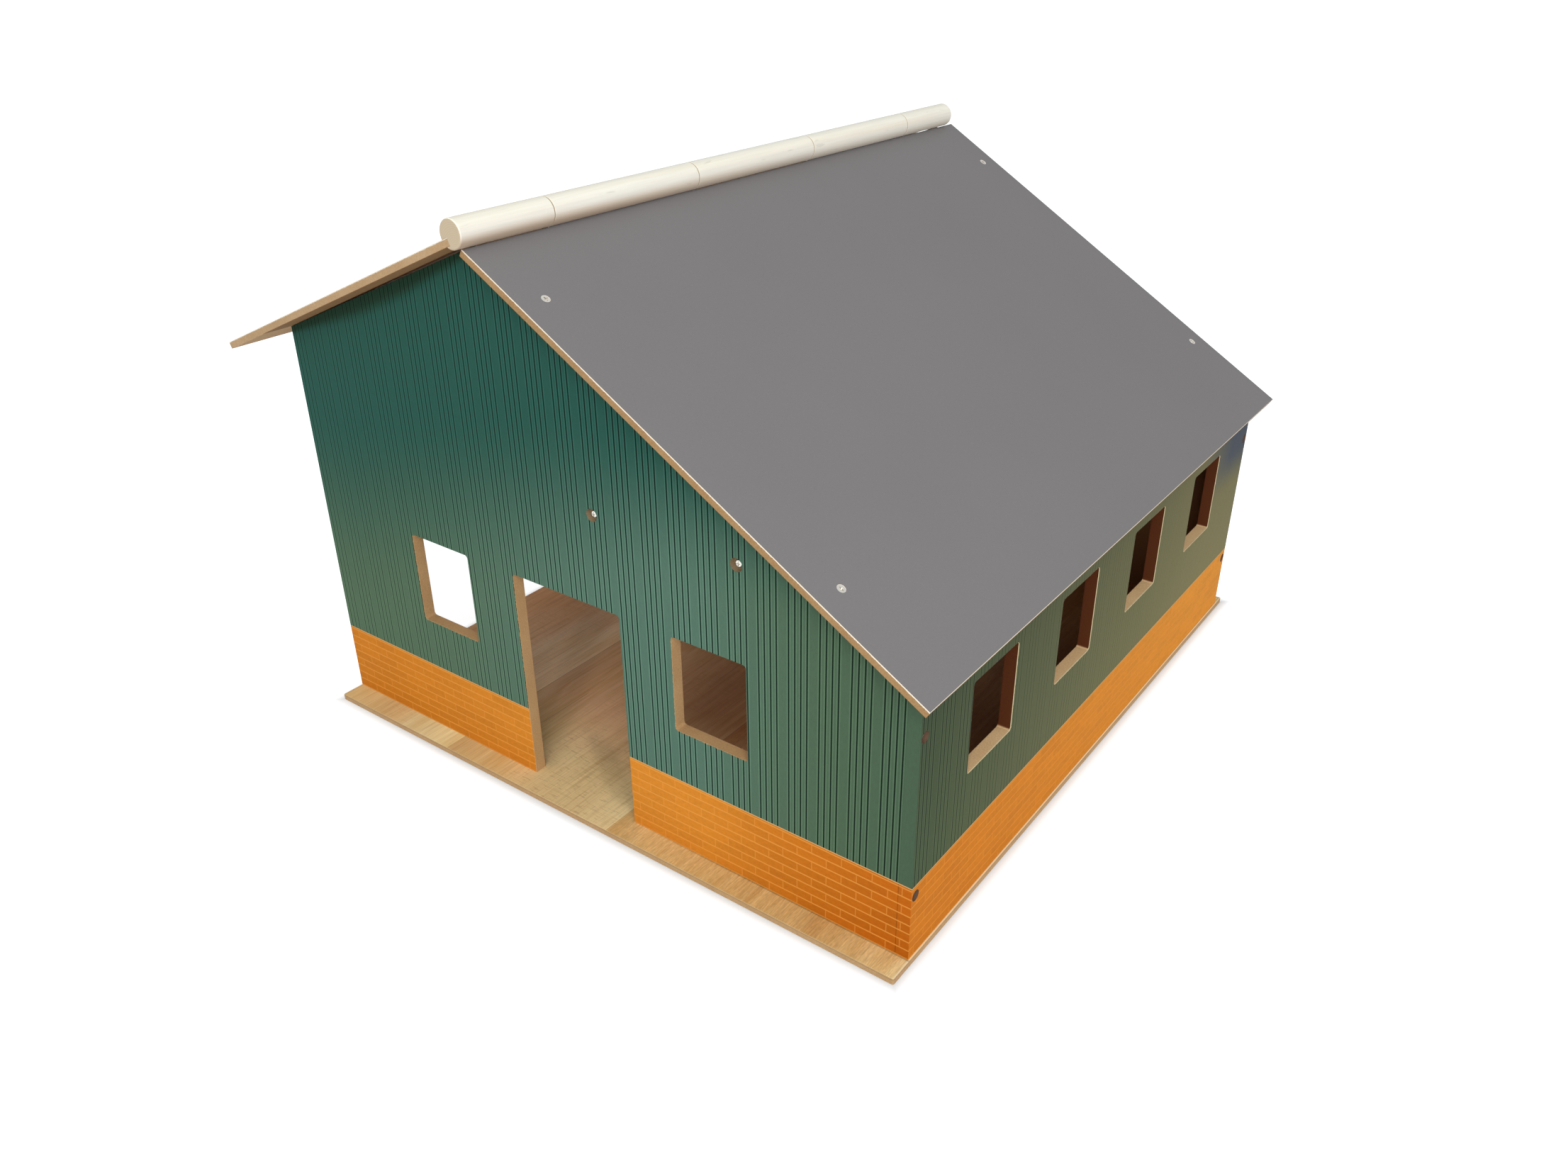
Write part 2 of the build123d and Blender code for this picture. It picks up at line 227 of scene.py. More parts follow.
LINE_PITCH = 5.65 * MM
LINES_PER_GROUP = 5  # the fifth place is left without a line
LINE_HALF_WIDTH = 0.5 * MM
LINE_INK = (0.0, 0.06, 0.04, 1.0)  # of the green
FLANK_OFFSET = 1.35 * MM  # from a line to the middle of its lighter flanks
FLANK_HALF_WIDTH = (0.1 * MM, 0.75 * MM)
FLANK_STRENGTH = 0.42

BAND_HEIGHT = 73.5 * MM
BAND_EDGE = 1.2 * MM
BAND_EDGE_COLOUR = srgb(222, 172, 112)
COURSE = 8.77 * MM
FIRST_COURSE = 9.4 * MM
BRICK = 28.75 * MM
MORTAR_HALF_WIDTH = 0.55 * MM
JOINT_STRENGTH = 0.62
UPRIGHT_JOINT_STRENGTH = 0.6  # of a bed joint
GABLE_MORTAR = srgb(244, 168, 78)
SIDE_MORTAR = srgb(236, 156, 56)


def corrugated_print(paint, along, first_line, green, depth):
    """Printed sheet: groups of four dark lines with a lighter line on either side of each."""
    shifted = paint.math("SUBTRACT", along, first_line)
    count = paint.math("FLOOR", paint.math("ADD", paint.math("DIVIDE", shifted, LINE_PITCH), 0.5))
    place_in_group = paint.math("FLOORED_MODULO", count, float(LINES_PER_GROUP))
    has_line = paint.math("LESS_THAN", place_in_group, LINES_PER_GROUP - 1.5)
    distance = paint.off_centre(shifted, LINE_PITCH)
    line = paint.times(paint.near(distance, 0.6 * LINE_HALF_WIDTH, 1.7 * LINE_HALF_WIDTH), has_line)
    flank = paint.times(paint.near(paint.away(distance, FLANK_OFFSET), *FLANK_HALF_WIDTH), has_line)
    ink = paint.noise((900.0, 900.0, 260.0), detail=2.0)
    lighter = paint.math("MULTIPLY_ADD", paint.times(flank, depth), FLANK_STRENGTH, 1.0)
    amount = paint.times(lighter, paint.about_one(ink, 0.04))
    line_ink = paint.mix(1.0, green, LINE_INK, blend="MULTIPLY")
    return paint.mix(paint.times(line, depth), paint.tone(green, amount), line_ink)


def brick_print(paint, along, height, first_joint, brick, mortar):
    """Printed band of thin bricks in running bond, with light joints."""
    raised = paint.math("SUBTRACT", height, FIRST_COURSE)
    course = paint.math("FLOOR", paint.math("DIVIDE", raised, COURSE))
    odd = paint.math("FLOORED_MODULO", course, 2.0)
    start = paint.math("MULTIPLY_ADD", odd, -BRICK / 2, paint.math("SUBTRACT", along, first_joint))
    bed = paint.near(paint.off_centre(raised, COURSE), 0.4 * MORTAR_HALF_WIDTH, 1.8 * MORTAR_HALF_WIDTH)
    upright = paint.near(paint.off_centre(start, BRICK), 0.3 * MORTAR_HALF_WIDTH, 1.5 * MORTAR_HALF_WIDTH)
    joint = paint.math("MAXIMUM", bed, paint.times(upright, UPRIGHT_JOINT_STRENGTH))
    number = paint.math("FLOOR", paint.math("DIVIDE", start, BRICK))
    each = paint.remap(paint.chance(paint.vector(number, course, 0.0)), 0.0, 1.0, 0.95, 1.05)
    clay = paint.about_one(paint.noise((220.0, 220.0, 420.0), detail=4.0, roughness=0.6), 0.07)
    face = paint.tone(brick, paint.times(each, clay))
    edge = paint.near(paint.math("SUBTRACT", BAND_HEIGHT, height), 0.5 * BAND_EDGE, BAND_EDGE)
    return paint.mix(edge, paint.mix(paint.times(joint, JOINT_STRENGTH), face, mortar), BAND_EDGE_COLOUR)


def foot_line(paint, brick, height):
    """The brick, dark in a painted shadow line where the board meets the floor."""
    return paint.tone(brick, paint.remap(height, 0.3 * MM, 1.4 * MM, 0.5, 1.0))


# ---------------------------------------------------------------- tones of the gables
GABLE_GREEN_EDGE = srgb(88, 114, 89)
# painted sheen: green and brick as lifted by a broad reflection right of the middle
GABLE_GREEN_SHEEN = srgb(89, 121, 105)
# painted shade: the deep green under the roof
GABLE_GREEN_ROOF_SHADE = srgb(42, 87, 76)
GABLE_BRICK_EDGE = srgb(216, 132, 38)
GABLE_BRICK_SHEEN = srgb(226, 143, 48)
# painted shade: the brick darker at the right end
GABLE_BRICK_RIGHT_SHADE = srgb(192, 100, 18)
# where the painted sheen rises and falls along the gable
SHEEN_RISE = (0.05, 0.41)
SHEEN_FALL = (0.44, 0.62, 1.0, 0.0)
# painted shade toward the right end, on the green and then on the brick
RIGHT_GREEN_SHADE = (0.48, 0.68, 1.0, 0.72)
RIGHT_BRICK_SHADE = (0.48, 0.68)
LOW_BRICK = (0.0, 0.05, 0.88, 1.0)
# painted shade under the roof: the heights, by place along the gable, where the green starts and ends
# deepening
ROOF_SHADE_START = (0.05, 0.45, 0.10, 0.26)  # height where the green starts to deepen
ROOF_SHADE_END = (0.05, 0.35, 0.32, 0.39)  # height where it is deepest

OPEN_EAVE = 392 * MM  # gable height at its open edge
OPEN_SLOPE = 0.424
LEAF_SHADE_MIDDLE = 0.14
LEAF_SHADE_REACH = (0.03, 0.13, 0.023, 0.010)  # how far down it comes, by distance from its middle
LEAF_SHADE = (0.58, 0.44, 0.32)
ROOFED_EAVE = 663.5 * MM  # where the fixed slope's underside would meet the gable's open edge
ROOFED_SLOPE = 0.5985
PANEL_SHADE_REACH = (0.2 * MM, 2.2 * MM)
PANEL_SHADE = (0.72, 0.58, 0.46)
CORNER_SEAM = (0.1 * MM, 0.6 * MM)  # half width of the seam between gable and side wall
GABLE_LINES = (0.05, 0.40, 0.62, 1.0)


def roof_shadows(paint, green, along, height):
    """The green, with a soft shadow under the leaf and a thin one under the fixed panel's edge."""
    leaf_line = paint.math("MULTIPLY_ADD", along, OPEN_SLOPE, OPEN_EAVE)
    under_leaf = paint.math("SUBTRACT", leaf_line, height)
    reach = paint.remap(paint.away(along, LEAF_SHADE_MIDDLE), *LEAF_SHADE_REACH)
    leaf_shade = paint.near(paint.math("DIVIDE", under_leaf, reach), 0.35, 1.0)
    green = paint.tint_where(leaf_shade, green, LEAF_SHADE)
    panel_line = paint.math("MULTIPLY_ADD", along, -ROOFED_SLOPE, ROOFED_EAVE)
    under_panel = paint.math("SUBTRACT", panel_line, height)
    panel_shade = paint.near(paint.math("SUBTRACT", under_panel, PANEL_OVERHANG), *PANEL_SHADE_REACH)
    return paint.tint_where(panel_shade, green, PANEL_SHADE)


def gable_tones(paint, height):
    """Green and brick of a gable's sheet, with painted light and shade: a painted sheen palest right of the
    middle, painted shade deepening the green under the roof and darkening the right end.
    """
    along = paint.math("SUBTRACT", paint.x, LEFT)
    # painted sheen, palest right of the middle
    pale = paint.times(*(paint.remap(along, *ramp, smooth=True) for ramp in (SHEEN_RISE, SHEEN_FALL)))
    # painted shade under the roof
    top = paint.remap(height, paint.remap(along, *ROOF_SHADE_START), paint.remap(along, *ROOF_SHADE_END), smooth=True)
    green = paint.mix(pale, GABLE_GREEN_EDGE, GABLE_GREEN_SHEEN)
    # painted shade at the right end
    green = paint.tone(green, paint.remap(along, *RIGHT_GREEN_SHADE))
    green = roof_shadows(paint, paint.mix(top, green, GABLE_GREEN_ROOF_SHADE), along, height)
    brick = paint.mix(pale, GABLE_BRICK_EDGE, GABLE_BRICK_SHEEN)
    brick = paint.mix(paint.remap(along, *RIGHT_BRICK_SHADE), brick, GABLE_BRICK_RIGHT_SHADE)
    brick = paint.tone(brick, paint.remap(height, *LOW_BRICK))
    seam = paint.near(paint.away(paint.x, INNER_RIGHT), *CORNER_SEAM)
    green = paint.tone_where(seam, green, 0.85)
    brick = paint.tone_where(seam, brick, 0.6)
    return green, foot_line(paint, brick, height)


def gable_lines(paint):
    """Strength of the printed lines: fainter toward the open edge."""
    return paint.remap(paint.math("SUBTRACT", paint.x, LEFT), *GABLE_LINES)


# ---------------------------------------------------------------- tones of the side wall
SIDE_GREEN_FRONT = srgb(67, 83, 57)
# painted sheen: the back's green and brick as lifted by reflected light at a grazing view
SIDE_GREEN_SHEEN = srgb(129, 123, 83)
SIDE_GREEN_CORNER = srgb(66, 74, 88)
SIDE_BRICK_FRONT = srgb(209, 121, 26)
SIDE_BRICK_SHEEN = srgb(232, 150, 46)
SIDE_GREEN_LENGTH = (0.0, 0.62)
SIDE_BRICK_LENGTH = (0.0, 0.6)
# painted shade under the roof: the side green darkens toward the top
SIDE_TOP = (0.09, 0.23, 1.0, 0.76)
CORNER_LENGTH = (0.57, 0.66)
CORNER_HEIGHT = (0.160, 0.210)
SIDE_LINES = ((0.0, 0.2, 0.45, 0.0), (0.2, 0.55, 0.42, 0.12))  # two ramps that add up


def side_tones(paint, height):
    """Green and brick of the side sheet: deep green near the front; toward the back a painted sheen turns the
    green olive and the brick brighter, with bluish green in the upper back corner; painted shade darkens the
    green toward the top.
    """
    along = paint.math("SUBTRACT", paint.y, FRONT)
    # painted sheen toward the back
    green = paint.mix(paint.remap(along, *SIDE_GREEN_LENGTH), SIDE_GREEN_FRONT, SIDE_GREEN_SHEEN)
    # painted shade toward the top
    green = paint.tone(green, paint.remap(height, *SIDE_TOP))
    corner = paint.times(paint.remap(along, *CORNER_LENGTH), paint.remap(height, *CORNER_HEIGHT, smooth=True))
    green = paint.mix(paint.times(corner, 0.95), green, SIDE_GREEN_CORNER)
    brick = paint.mix(paint.remap(along, *SIDE_BRICK_LENGTH), SIDE_BRICK_FRONT, SIDE_BRICK_SHEEN)
    return green, foot_line(paint, brick, height)


def side_lines(paint):
    """Strength of the printed lines: falls fast at first and then slowly toward the rear, where painted sheen
    washes them out.
    """
    along = paint.math("SUBTRACT", paint.y, FRONT)
    return paint.math("ADD", *(paint.remap(along, *ramp) for ramp in SIDE_LINES))


def no_lines(paint):
    """Strength of the printed lines on the side wall's ends, which show none."""
    return 0.0


# ---------------------------------------------------------------- the boards under the print
# painted shade: the boards' inner faces, a darker brown than their bare board
INNER_FACE_SHADE = srgb(112, 76, 48)
FACING_UP = (0.6, 0.9)  # of a normal's z
# painted light: upward faces of the side wall's cut edges, such as the sills, made paler as if lit from above
SIDE_TOP_EDGE_LIGHT = (1.42, 1.56, 1.72)
SIDE_JAMB = srgb(90, 48, 27)
# painted shade inside the side wall's bolt holes
SIDE_BOLT_HOLE_SHADE = srgb(112, 88, 72)
BOLT_HOLE_ZONE = 30 * MM  # from a gable's face: bolt holes, no windows
PAPER_EDGE_COLOUR = srgb(216, 200, 160)
# painted light and shade on the gables' cut edges: darker near the open side, lighter further along
GABLE_EDGE_LIGHT_ALONG = (0.10, 0.17, 0.90, 1.08)
GABLE_TOP_EDGE = 0.94
# painted shade inside the loft screws' holes
LOFT_SCREW_HOLE_SHADE = srgb(146, 126, 98)
LOFT_HOLE_MARGIN = 5 * MM
LOFT_HOLE_HALF_HEIGHT = 9 * MM

# One printed sheet: the axis it faces and its plane there, the axis its lines count along, the first
# line and brick joint on that axis, a function for its green and brick, its mortar's colour, and a
# function for the strength of its lines.
Sheet = namedtuple("Sheet", "facing plane along first_line first_joint tones mortar lines")


def side_board_edges(paint, colour, fibres, normals):
    """Cut edges of the side wall: paler on top as painted light, dark red-brown upright, darker in its bolt
    holes as painted shade; and the mask of those holes.
    """
    # painted light on upward faces
    colour = paint.tint_where(paint.remap(normals["z"], *FACING_UP), colour, SIDE_TOP_EDGE_LIGHT)
    upright = paint.remap(paint.math("ABSOLUTE", normals["y"]), 0.55, 0.85)
    colour = paint.mix(upright, colour, streaked(paint, SIDE_JAMB, fibres, 0.1))
    inside = paint.math("SUBTRACT", paint.y, FRONT)
    from_ends = paint.math("MINIMUM", inside, paint.math("SUBTRACT", REAR - FRONT, inside))
    in_hole = paint.math("LESS_THAN", from_ends, BOLT_HOLE_ZONE)
    # painted shade in the bolt holes
    return paint.mix(in_hole, colour, streaked(paint, SIDE_BOLT_HOLE_SHADE, fibres, 0.1)), in_hole


def gable_edges(paint, colour, fibres, normals):
    """Cut edges of a gable: painted shade near the open side and painted light further along, darker on top,
    painted shade in the loft screws' holes.
    """
    from_open_edge = paint.math("SUBTRACT", paint.x, LEFT)
    # painted shade near the open side, painted light further along
    colour = paint.tone(colour, paint.remap(from_open_edge, *GABLE_EDGE_LIGHT_ALONG))
    colour = paint.tone(colour, paint.remap(normals["z"], *FACING_UP, 1.0, GABLE_TOP_EDGE))
    middle = (LOFT_SCREWS[0] + LOFT_SCREWS[1]) / 2
    half_length = LOFT_SCREWS[1].x - middle.x + LOFT_HOLE_MARGIN
    beside = paint.math("LESS_THAN", paint.away(paint.x, middle.x), half_length)
    level = paint.math("LESS_THAN", paint.away(paint.z, middle.z), LOFT_HOLE_HALF_HEIGHT)
    # painted shade in the loft screws' holes
    return paint.mix(paint.times(beside, level), colour, streaked(paint, LOFT_SCREW_HOLE_SHADE, fibres, 0.1))


def printed_board(name, node, sheets, paper_wear, side=False):
    """Fibreboard with printed sheets, the first of them on its outer broad face."""
    paint = Paint(name)
    axes = {"x": paint.x, "y": paint.y}
    normals = dict(zip("xyz", paint.parts(paint.normal)))
    colour, fibres = fibreboard(paint, *CUT_EDGE)
    facing, outer = sheets[0].facing, sheets[0].plane
    middle = sum(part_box(node), Vector())["xyz".index(facing)] / 2
    inward = 1.0 if outer < middle else -1.0
    # the inner faces get the painted shade colour
    inner = paint.math("GREATER_THAN", paint.times(normals[facing], inward), 0.7)
    colour = paint.mix(inner, colour, streaked(paint, INNER_FACE_SHADE, fibres, 0.08))
    if side:
        colour, in_hole = side_board_edges(paint, colour, fibres, normals)
    else:
        colour = gable_edges(paint, colour, fibres, normals)
    height = paint.math("SUBTRACT", paint.z, FLOOR)
    worn = paint.remap(paint.noise((450.0, 450.0, 450.0), detail=3.0), 0.35, 0.65, *paper_wear)
    papered = 0.0
    for sheet in sheets:
        depth = paint.away(axes[sheet.facing], sheet.plane)
        on_face = paint.math("LESS_THAN", depth, worn)
        green, brick = sheet.tones(paint, height)
        along = axes[sheet.along]
        lines = corrugated_print(paint, along, sheet.first_line, green, sheet.lines(paint))
        bricks = brick_print(paint, along, height, sheet.first_joint, brick, sheet.mortar)
        printed = paint.mix(paint.math("LESS_THAN", height, BAND_HEIGHT), lines, bricks)
        if side and sheet.facing == facing:
            rim = paint.math("LESS_THAN", depth, PAPER_EDGE)
            rim = paint.times(rim, paint.math("SUBTRACT", 1.0, in_hole))
            colour = paint.mix(rim, colour, PAPER_EDGE_COLOUR)
        colour = paint.mix(on_face, colour, printed)
        papered = paint.math("MAXIMUM", papered, on_face)
    grain = paint.times(fibres, paint.remap(papered, 0.0, 1.0, 1.0, 0.12))
    roughness = paint.remap(papered, 0.0, 1.0, 0.85, 0.62)
    return paint.finish(colour, roughness, grain, bump=0.35, specular=0.06)


# ================================================================ printed floor
PLANK_WIDTH = 214.4 * MM
PLANK_SEAM = 163.5 * MM  # from the open edge to the first seam
COMBED_START = (0.376, 0.384)  # from here on the print is finely combed
SHORT_SEAM = 209 * MM  # a short seam within the second plank
SHORT_SEAM_MIDDLE = 96 * MM
SHORT_SEAM_REACH = (30 * MM, 36 * MM)
SEAM_HALF_WIDTH = (0.2 * MM, 0.7 * MM)
SEAM_COLOUR = srgb(112, 80, 50)

OAK_DARK = srgb(218, 186, 126)
OAK_LIGHT = srgb(232, 207, 152)
OAK_SAWN = srgb(240, 214, 163)
OAK_GRAIN = srgb(190, 146, 94)
SAW_MARK = srgb(160, 120, 76)
# a patch of sawn print before the doorway, partly print and partly painted light coming in through the
# doorway
DOORWAY_MIDDLE = 0.310
DOORWAY_HALF_WIDTH = (0.055, 0.085)
DOORWAY_REACH = (0.06, 0.12)


def plank_grain(paint, across, inward):
    """Colour and height of the oak print: long grain, sawn patches with marks across, and fine combing."""
    fine = paint.noise((900.0, 16.0, 1.0), detail=4.0, roughness=0.7, distortion=0.2)
    long_grain = paint.noise((300.0, 9.0, 1.0), detail=5.0, roughness=0.65, distortion=0.4)
    figure = paint.noise((46.0, 5.0, 1.0), detail=3.0, roughness=0.6, distortion=1.6)
    dashes = paint.noise((95.0, 560.0, 1.0), detail=2.0, roughness=0.6, distortion=0.3)
    rows = paint.noise((20.0, 330.0, 1.0), detail=3.0, roughness=0.6)
    strokes = paint.noise((820.0, 150.0, 1.0), detail=2.0, roughness=0.55, distortion=0.4)
    patches = paint.noise((7.0, 7.0, 1.0), detail=1.0, shift=(3.1, 0.4, 0.0))

    # partly painted light: the sawn patch is paler where light comes in through the doorway
    doorway = paint.near(paint.away(across, DOORWAY_MIDDLE), *DOORWAY_HALF_WIDTH)
    doorway = paint.times(doorway, paint.near(inward, *DOORWAY_REACH))
    sawn = paint.math("MAXIMUM", doorway, paint.remap(patches, 0.48, 0.62, 0.0, 0.6))
    marks = paint.math("MAXIMUM", paint.remap(dashes, 0.56, 0.68), paint.remap(rows, 0.54, 0.70, 0.0, 0.6))
    marks = paint.times(marks, sawn)
    combed = paint.remap(across, *COMBED_START)
    strokes = paint.remap(strokes, 0.32, 0.68, -1.0, 1.0)

    colour = paint.mix(paint.remap(figure, 0.35, 0.65), OAK_DARK, OAK_LIGHT)
    colour = paint.mix(paint.times(sawn, 0.8), colour, OAK_SAWN)
    colour = paint.mix(paint.remap(long_grain, 0.50, 0.72, 0.0, 0.5), colour, OAK_GRAIN)
    colour = paint.tone(colour, paint.remap(fine, 0.3, 0.7, 0.86, 1.12))
    colour = paint.mix(paint.times(marks, 0.34), colour, SAW_MARK)
    colour = paint.tone(colour, paint.math("MULTIPLY_ADD", strokes, paint.times(combed, 0.13), 1.0))

    grain = paint.math("MULTIPLY_ADD", long_grain, 0.5, paint.times(fine, 0.3))
    grain = paint.math("SUBTRACT", grain, paint.times(marks, 0.3))
    grain = paint.math("MULTIPLY_ADD", strokes, paint.times(combed, 0.12), grain)
    return colour, grain


# tones of the planks, as ramps across the floor
SEAM_SIDE = (0.0, 0.18, 0.95, 1.0)  # as shares of a plank's width, past its seam
NEXT_SEAM_SIDE = (0.70, 0.98)  # as shares of it too, before the next seam
NEXT_SEAM_TONE = (0.30, 0.60, 1.14, 0.95)
OPEN_EDGE_TONE = (0.015, 0.05, 1.15, 1.0)
FIRST_PLANK_PALE = (0.080, 0.100)
SECOND_PLANK_PALE = (0.330, 0.376)
PALE_PLANK = (1.08, 1.27, 1.46)
MIDDLE_START = (0.18, 0.24)
MIDDLE_PLANKS = (1.08, 1.06, 1.02)
THIRD_PLANK_START = (0.384, 0.400, 1.0, 0.0)
THIRD_PLANK_RIM = (0.98, 0.86, 0.72)
FOURTH_PLANK_START = (0.602, 0.620, 1.0, 0.0)
FOURTH_PLANK_RIM = (0.95, 0.88, 0.80)
BROWN_RISE = (0.376, 0.58, 0.3, 1.0)
BROWN_FALL = (0.62, 0.67, 1.0, 0.1)
BROWN_PLANK = (0.82, 0.76, 0.66)


def plank_tones(paint, colour, across, from_seam):
    """The planks' own tones: pale near the open edge, browner toward the side wall."""
    share = paint.math("FRACT", paint.math("DIVIDE", from_seam, PLANK_WIDTH))
    first_plank = paint.math("LESS_THAN", across, PLANK_SEAM)
    past_second = paint.math("GREATER_THAN", across, PLANK_SEAM + PLANK_WIDTH)
    past_third = paint.math("GREATER_THAN", across, PLANK_SEAM + 2 * PLANK_WIDTH)
    colour = paint.tone(colour, paint.remap(share, *SEAM_SIDE, smooth=True))
    colour = paint.tone(colour, paint.remap(across, *OPEN_EDGE_TONE))
    next_seam = paint.remap(across, *NEXT_SEAM_TONE)
    colour = paint.tone(colour, paint.remap(share, *NEXT_SEAM_SIDE, 1.0, next_seam, smooth=True))
    pale_first = paint.times(paint.remap(across, *FIRST_PLANK_PALE), first_plank)
    pale_second = paint.remap(across, *SECOND_PLANK_PALE)
    pale_second = paint.times(pale_second, paint.math("SUBTRACT", 1.0, past_second))
    pale = paint.math("MAXIMUM", pale_first, paint.times(pale_second, 0.35))
    third_rim = paint.times(past_second, paint.remap(across, *THIRD_PLANK_START))
    fourth_rim = paint.times(past_third, paint.remap(across, *FOURTH_PLANK_START))
    brown = paint.times(paint.remap(across, *BROWN_RISE), paint.remap(across, *BROWN_FALL))
    for mask, tint in (
        (pale, PALE_PLANK),
        (paint.remap(across, *MIDDLE_START), MIDDLE_PLANKS),
        (third_rim, THIRD_PLANK_RIM),
        (fourth_rim, FOURTH_PLANK_RIM),
        (brown, BROWN_PLANK),
    ):
        colour = paint.tint_where(mask, colour, tint)
    return colour


# light and shade behind the front gable. Where a value holds two ramps, they are across the floor
# and inward, and for the lit place they are where it starts and where it ends.
REDDER_START = (0.04, 0.12)
REDDER = (1.10, 0.90, 1.02)
# soft bands: the normal's x and y, the distance along it, half width, tone and inner end of each
DOORWAY_BANDS = (
    (0.555, 0.832, 0.216, 0.014, 0.82, 0.085),
    (0.845, 0.535, 0.222, 0.022, 0.88, 0.300),
)
BAND_START = (0.006, 0.020)
LIT_ACROSS = ((0.215, 0.245), (0.305, 0.275))
LIT_INWARD = ((0.010, 0.030), (0.150, 0.110))
LIT = (1.15, 1.16, 1.20)
REAR_LEFT = ((0.145, 0.125), (0.18, 0.25))
REAR_LEFT_SHADE = (0.88, 0.78, 0.70)
INSIDE = ((0.24, 0.34), (0.11, 0.18))
INSIDE_SHADE = (0.62, 0.51, 0.44)
DEEP = ((0.38, 0.55), (0.12, 0.32))
DEEP_TONE = 0.6


def indoor_tones(paint, colour, across, inward):
    """The floor behind the front gable, with painted light and shade: redder and darker far inside, soft
    shadow bands beside the doorway, a lit patch in it.
    """
    indoors = paint.math("LESS_THAN", paint.y, REAR)
    redder = paint.times(indoors, paint.remap(inward, *REDDER_START))
    colour = paint.tint_where(redder, colour, REDDER)
    for turn_x, turn_y, middle, half_width, tone, end in DOORWAY_BANDS:
        line = paint.math("MULTIPLY_ADD", across, turn_x, paint.times(inward, turn_y))
        band = paint.near(paint.away(line, middle), 0.3 * half_width, 1.3 * half_width)
        band = paint.times(band, paint.remap(inward, *BAND_START), paint.remap(inward, end, 0.8 * end))
        colour = paint.tone_where(band, colour, tone)
    lit = paint.times(*(paint.remap(across, *ramp) for ramp in LIT_ACROSS))
    lit = paint.times(lit, paint.times(*(paint.remap(inward, *ramp) for ramp in LIT_INWARD)))
    colour = paint.tint_where(lit, colour, LIT)
    rear_left = paint.times(paint.remap(across, *REAR_LEFT[0]), paint.remap(inward, *REAR_LEFT[1]), indoors)
    colour = paint.tint_where(rear_left, colour, REAR_LEFT_SHADE)
    inside, deep = (
        paint.times(paint.remap(across, *widths), paint.remap(inward, *depths, smooth=True), indoors)
        for widths, depths in (INSIDE, DEEP)
    )
    colour = paint.tint_where(inside, colour, INSIDE_SHADE)
    return paint.tone_where(deep, colour, DEEP_TONE)


SIDE_MARGIN_COLOUR = srgb(246, 226, 184)
WALL_FOOT_HALF_WIDTH = (0.3 * MM, 1.2 * MM)
WALL_FOOT_LENGTH = (0.40, 0.50)
EDGE_SHADE = (1.2 * MM, 2.2 * MM, 0.78, 1.0)
# painted highlight: a pale line just below the floor's top edge
EDGE_HIGHLIGHT_DEPTH = (0.5 * MM, 0.9 * MM)
EDGE_HIGHLIGHT = srgb(238, 208, 156)
PRINT_DEPTH = (0.05 * MM, 0.2 * MM)


def floor_lines(paint, colour, across, inward, from_seam):
    """Seams of the planks, the cream margin beside the side wall and a painted shadow line at the gable's
    foot.
    """
    seam = paint.near(paint.math("ABSOLUTE", paint.off_centre(from_seam, PLANK_WIDTH)), *SEAM_HALF_WIDTH)
    short = paint.near(paint.away(across, SHORT_SEAM), *SEAM_HALF_WIDTH)
    short = paint.times(short, paint.near(paint.away(inward, SHORT_SEAM_MIDDLE), *SHORT_SEAM_REACH))
    seam = paint.times(paint.math("MAXIMUM", seam, short), paint.remap(inward, 0.0, 0.03, 0.12, 0.45))
    colour = paint.mix(seam, colour, SEAM_COLOUR)
    side_margin = paint.math("GREATER_THAN", paint.x, RIGHT + 0.1 * MM)
    colour = paint.mix(side_margin, colour, SIDE_MARGIN_COLOUR)
    # painted shadow line along the foot of the front gable
    wall_foot_shadow = paint.near(paint.math("ABSOLUTE", paint.math("ADD", inward, 0.5 * MM)), *WALL_FOOT_HALF_WIDTH)
    wall_foot_shadow = paint.times(wall_foot_shadow, paint.remap(across, *WALL_FOOT_LENGTH))
    return paint.tone_where(wall_foot_shadow, colour, 0.6)


def floor_edge(paint, depth):
    """Colour and height of the floor sheet's bare edge: darker near its top, with a painted highlight line
    there.
    """
    colour, fibres = fibreboard(paint, *CUT_EDGE)
    colour = paint.tone(colour, paint.remap(depth, *EDGE_SHADE, smooth=True))
    highlight_line = paint.times(paint.near(depth, *EDGE_HIGHLIGHT_DEPTH), 0.32)
    return paint.mix(highlight_line, colour, EDGE_HIGHLIGHT), fibres


def floor_print(name):
    """Floor sheet: wide oak planks printed on the top, bare board at the edges."""
    paint = Paint(name)
    across = paint.math("SUBTRACT", paint.x, LEFT)
    inward = paint.math("SUBTRACT", paint.y, FRONT)
    depth = paint.math("SUBTRACT", FLOOR, paint.z)
    from_seam = paint.math("SUBTRACT", across, PLANK_SEAM)
    colour, grain = plank_grain(paint, across, inward)
    colour = plank_tones(paint, colour, across, from_seam)
    colour = indoor_tones(paint, colour, across, inward)
    colour = floor_lines(paint, colour, across, inward, from_seam)
    edge, fibres = floor_edge(paint, depth)
    surface = paint.mix(paint.near(depth, *PRINT_DEPTH), edge, colour)
    grain = paint.math("MULTIPLY_ADD", fibres, 0.2, grain)
    return paint.finish(surface, 0.55, grain, bump=0.18, specular=0.15)


